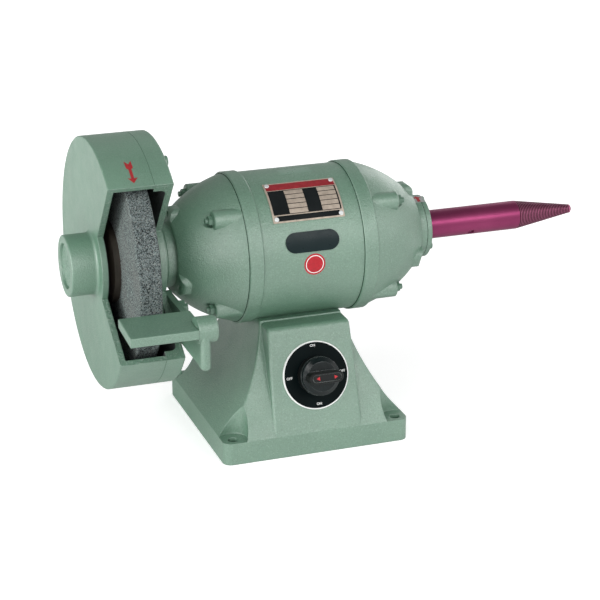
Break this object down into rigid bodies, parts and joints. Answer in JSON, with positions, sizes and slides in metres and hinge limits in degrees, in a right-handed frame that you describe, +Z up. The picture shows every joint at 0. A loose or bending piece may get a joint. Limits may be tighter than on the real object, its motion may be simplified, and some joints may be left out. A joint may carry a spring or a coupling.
{
  "type": "grinder polisher",
  "caption": "Bench grinder with a guarded wheel and tool rest on the left, a tapered polishing spindle on the right and a cast pedestal with a rotary switch.",
  "frame": {"origin": "centre of the four foot bolts, on the underside of the pedestal", "axes": "+X along the shaft towards the polishing spindle, +Y to the back, +Z up"},
  "size_m": [0.4948, 0.2625, 0.287],
  "materials": {
    "green_paint": "satin paint, light orange peel",
    "painted_fasteners": "painted over with the castings",
    "zinc_steel": "zinc plated",
    "bearing_steel": "ground",
    "bearing_cage": "pressed",
    "shaft_steel": "turned",
    "flange_brown": "blackened",
    "lamination": "laminated",
    "copper": "enamelled",
    "cast_aluminium": "cast",
    "dial_black": "satin",
    "knob_black": "semi-gloss",
    "moulded_black": "moulded",
    "switch_steel": "plain",
    "lead_sleeve": "matte",
    "abrasive": "coarse grain",
    "bush_plastic": "moulded",
    "blotter_card": "matte",
    "purple_anodised": "anodised, fine turned",
    "plate_aluminium": "printed plate, left blank",
    "badge_black": "gloss, left blank"
  },
  "bodies": {
    "frame": {"badge_plate": "badge_black", "bearing_cap": "green_paint", "bearing_cap_screws": "painted_fasteners", "bottom_cover": "zinc_steel", "bottom_cover_screws": "zinc_steel", "cable_gland": "moulded_black", "capacitor": "cast_aluminium", "capacitor_clip": "zinc_steel", "capacitor_clip_screws": "zinc_steel", "gland_cap": "moulded_black", "gland_locknut": "moulded_black", "guard_back": "green_paint", "guard_cover": "green_paint", "guard_cover_screws": "painted_fasteners", "guard_mount_screws": "zinc_steel", "left_bearing_outer_race": "bearing_steel", "left_end_shield": "green_paint", "motor_bolts": "zinc_steel", "motor_leads": "lead_sleeve", "motor_shell": "green_paint", "pedestal": "green_paint", "plate_rivets": "zinc_steel", "preload_washer": "zinc_steel", "rating_plate": "plate_aluminium", "rest_arm_bolt": "painted_fasteners", "rest_arm_nut": "painted_fasteners", "right_bearing_outer_race": "bearing_steel", "right_end_shield": "green_paint", "stator_core": "lamination", "stator_windings": "copper", "switch_body": "moulded_black", "switch_plate": "dial_black", "switch_screws": "zinc_steel", "terminal_block": "moulded_black", "terminal_screws": "zinc_steel", "tie_rod_nuts": "painted_fasteners", "tie_rods": "painted_fasteners"},
    "rotor": {"shaft": "shaft_steel", "rotor_core": "lamination", "rotor_cage": "cast_aluminium", "left_bearing_inner_race": "bearing_steel", "right_bearing_inner_race": "bearing_steel", "grinding_wheel": "abrasive", "wheel_bush": "bush_plastic", "wheel_blotters": "blotter_card", "inner_flange": "flange_brown", "outer_flange": "flange_brown", "wheel_nut": "shaft_steel", "polishing_spindle": "purple_anodised", "spindle_set_screws": "zinc_steel"},
    "left_ball_set": {"left_bearing_balls": "bearing_steel", "left_bearing_cage": "bearing_cage"},
    "right_ball_set": {"right_bearing_balls": "bearing_steel", "right_bearing_cage": "bearing_cage"},
    "switch_knob": {"switch_knob": "knob_black", "switch_shaft": "switch_steel"},
    "rest_arm": {"rest_arm": "green_paint", "tool_rest_screw": "zinc_steel"},
    "tool_rest": {"tool_rest": "green_paint"}
  },
  "joints": [
    {"name": "rotor_spin", "type": "hinge", "parent": "frame", "child": "rotor", "pos_m": [0, 0, 0.174], "axis": [1, 0, 0], "continuous": true},
    {"name": "left_ball_roll", "type": "hinge", "parent": "frame", "child": "left_ball_set", "pos_m": [0, 0, 0.174], "axis": [1, 0, 0], "continuous": true},
    {"name": "right_ball_roll", "type": "hinge", "parent": "frame", "child": "right_ball_set", "pos_m": [0, 0, 0.174], "axis": [1, 0, 0], "continuous": true},
    {"name": "switch_turn", "type": "hinge", "parent": "frame", "child": "switch_knob", "pos_m": [0.0025, -0.07374, 0.07], "axis": [0, -0.9553, 0.2957], "continuous": true},
    {"name": "rest_slide", "type": "slide", "parent": "frame", "child": "rest_arm", "axis": [0, -1, 0], "range_m": [0, 0.012]},
    {"name": "rest_tilt", "type": "hinge", "parent": "rest_arm", "child": "tool_rest", "pos_m": [-0.1184, -0.13804, 0.1543], "axis": [1, 0, 0], "range_deg": [0, 30]}
  ],
  "couplings": [
    {"joint": "left_ball_roll", "follows": "rotor_spin", "ratio": 0.3842},
    {"joint": "right_ball_roll", "follows": "rotor_spin", "ratio": 0.3842}
  ]
}
